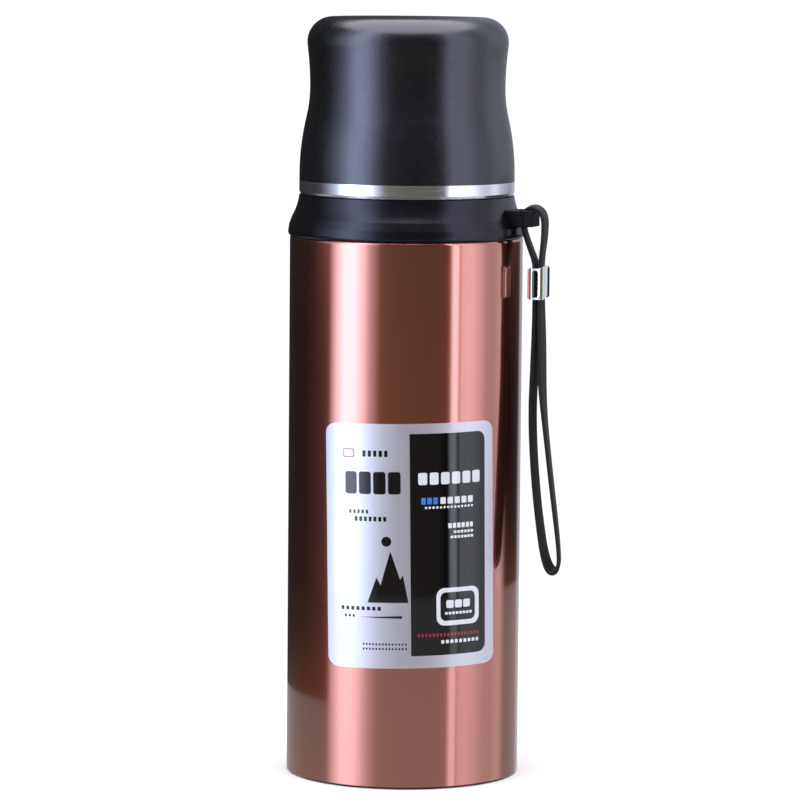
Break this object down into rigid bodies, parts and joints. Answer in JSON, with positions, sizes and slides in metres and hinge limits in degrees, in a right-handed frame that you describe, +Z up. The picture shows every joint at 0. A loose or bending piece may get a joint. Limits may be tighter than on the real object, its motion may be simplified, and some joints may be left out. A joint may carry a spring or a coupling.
{
  "type": "vacuum flask",
  "caption": "Tall stainless vacuum flask with a screw-on drinking cup, a push-button pouring stopper and a wrist strap on a side bracket.",
  "frame": {"origin": "centre of the foot pad's underside, on the flask's axis", "axes": "+Z up along the flask's axis, front with the label towards -Y, strap bracket towards +X and 20 degrees forward"},
  "size_m": [0.0951, 0.0812, 0.2601],
  "materials": {
    "copper_lacquer": "brushed steel under a transparent copper-rose lacquer",
    "raw_steel": "plain pressed stainless steel",
    "liner_steel": "satin stainless steel",
    "brushed_ring": "fine brushed, with a polished bevel",
    "sleeve_chrome": "bright plated",
    "spring_steel": "bright wire",
    "copper_foil": "thin bright copper foil",
    "getter_alloy": "matte sintered pellet",
    "solder_glass": "glassy seal",
    "soft_touch_black": "soft-touch blue-black",
    "black_plastic": "fine moulded texture",
    "grey_plastic": "satin moulded",
    "black_silicone": "matte silicone",
    "clear_silicone": "milky silicone",
    "label_film": "printed film, white and black",
    "strap_webbing": "flat woven strap"
  },
  "bodies": {
    "flask": {"outer_shell": "copper_lacquer", "outer_base": "raw_steel", "base_pad": "black_silicone", "vacuum_seal_plug": "solder_glass", "liner_tube": "liner_steel", "liner_base": "liner_steel", "heat_shield_foil": "copper_foil", "getter_pellet": "getter_alloy", "getter_clip": "raw_steel", "label": "label_film", "shoulder_collar": "black_plastic", "strap_bracket": "black_plastic", "mouth_gasket": "clear_silicone"},
    "cup_rim": {"cup_liner": "liner_steel", "cup_trim_ring": "brushed_ring"},
    "cup": {"cup_shell": "soft_touch_black", "cup_thread_ring": "black_plastic", "cup_gasket": "clear_silicone"},
    "stopper_seal": {"stopper_gasket": "clear_silicone"},
    "stopper": {"stopper_body": "black_plastic", "stopper_grip": "black_plastic"},
    "button": {"button_cap": "grey_plastic", "valve_stem": "grey_plastic", "valve_disc": "grey_plastic", "valve_gasket": "clear_silicone", "return_spring": "spring_steel"},
    "strap": {"wrist_strap": "strap_webbing", "strap_sleeve": "sleeve_chrome"}
  },
  "joints": [
    {"name": "cup_lift", "type": "slide", "parent": "flask", "child": "cup_rim", "axis": [0, 0, 1], "range_m": [0, 0.0901]},
    {"name": "cup_turn", "type": "hinge", "parent": "cup_rim", "child": "cup", "pos_m": [0, 0, 0.21], "axis": [0, 0, 1], "range_deg": [0, 5400]},
    {"name": "stopper_lift", "type": "slide", "parent": "flask", "child": "stopper_seal", "axis": [0, 0, 1], "range_m": [0, 0.0301]},
    {"name": "stopper_turn", "type": "hinge", "parent": "stopper_seal", "child": "stopper", "pos_m": [0, 0, 0.205], "axis": [0, 0, 1], "range_deg": [0, 2160]},
    {"name": "button_press", "type": "slide", "parent": "stopper", "child": "button", "axis": [0, 0, -1], "range_m": [0, 0.003], "stiffness_N_per_m": 400, "springref_m": -0.002, "deforming": ["return_spring"]},
    {"name": "strap_swing", "type": "hinge", "parent": "flask", "child": "strap", "pos_m": [0.04311, -0.01569, 0.1925], "axis": [-0.342, -0.9397, 0], "range_deg": [-4, 90]}
  ],
  "couplings": [
    {"joint": "cup_lift", "follows": "cup_turn", "m_per_rad": 0.00095493},
    {"joint": "stopper_lift", "follows": "stopper_turn", "m_per_rad": 0.00079577}
  ]
}
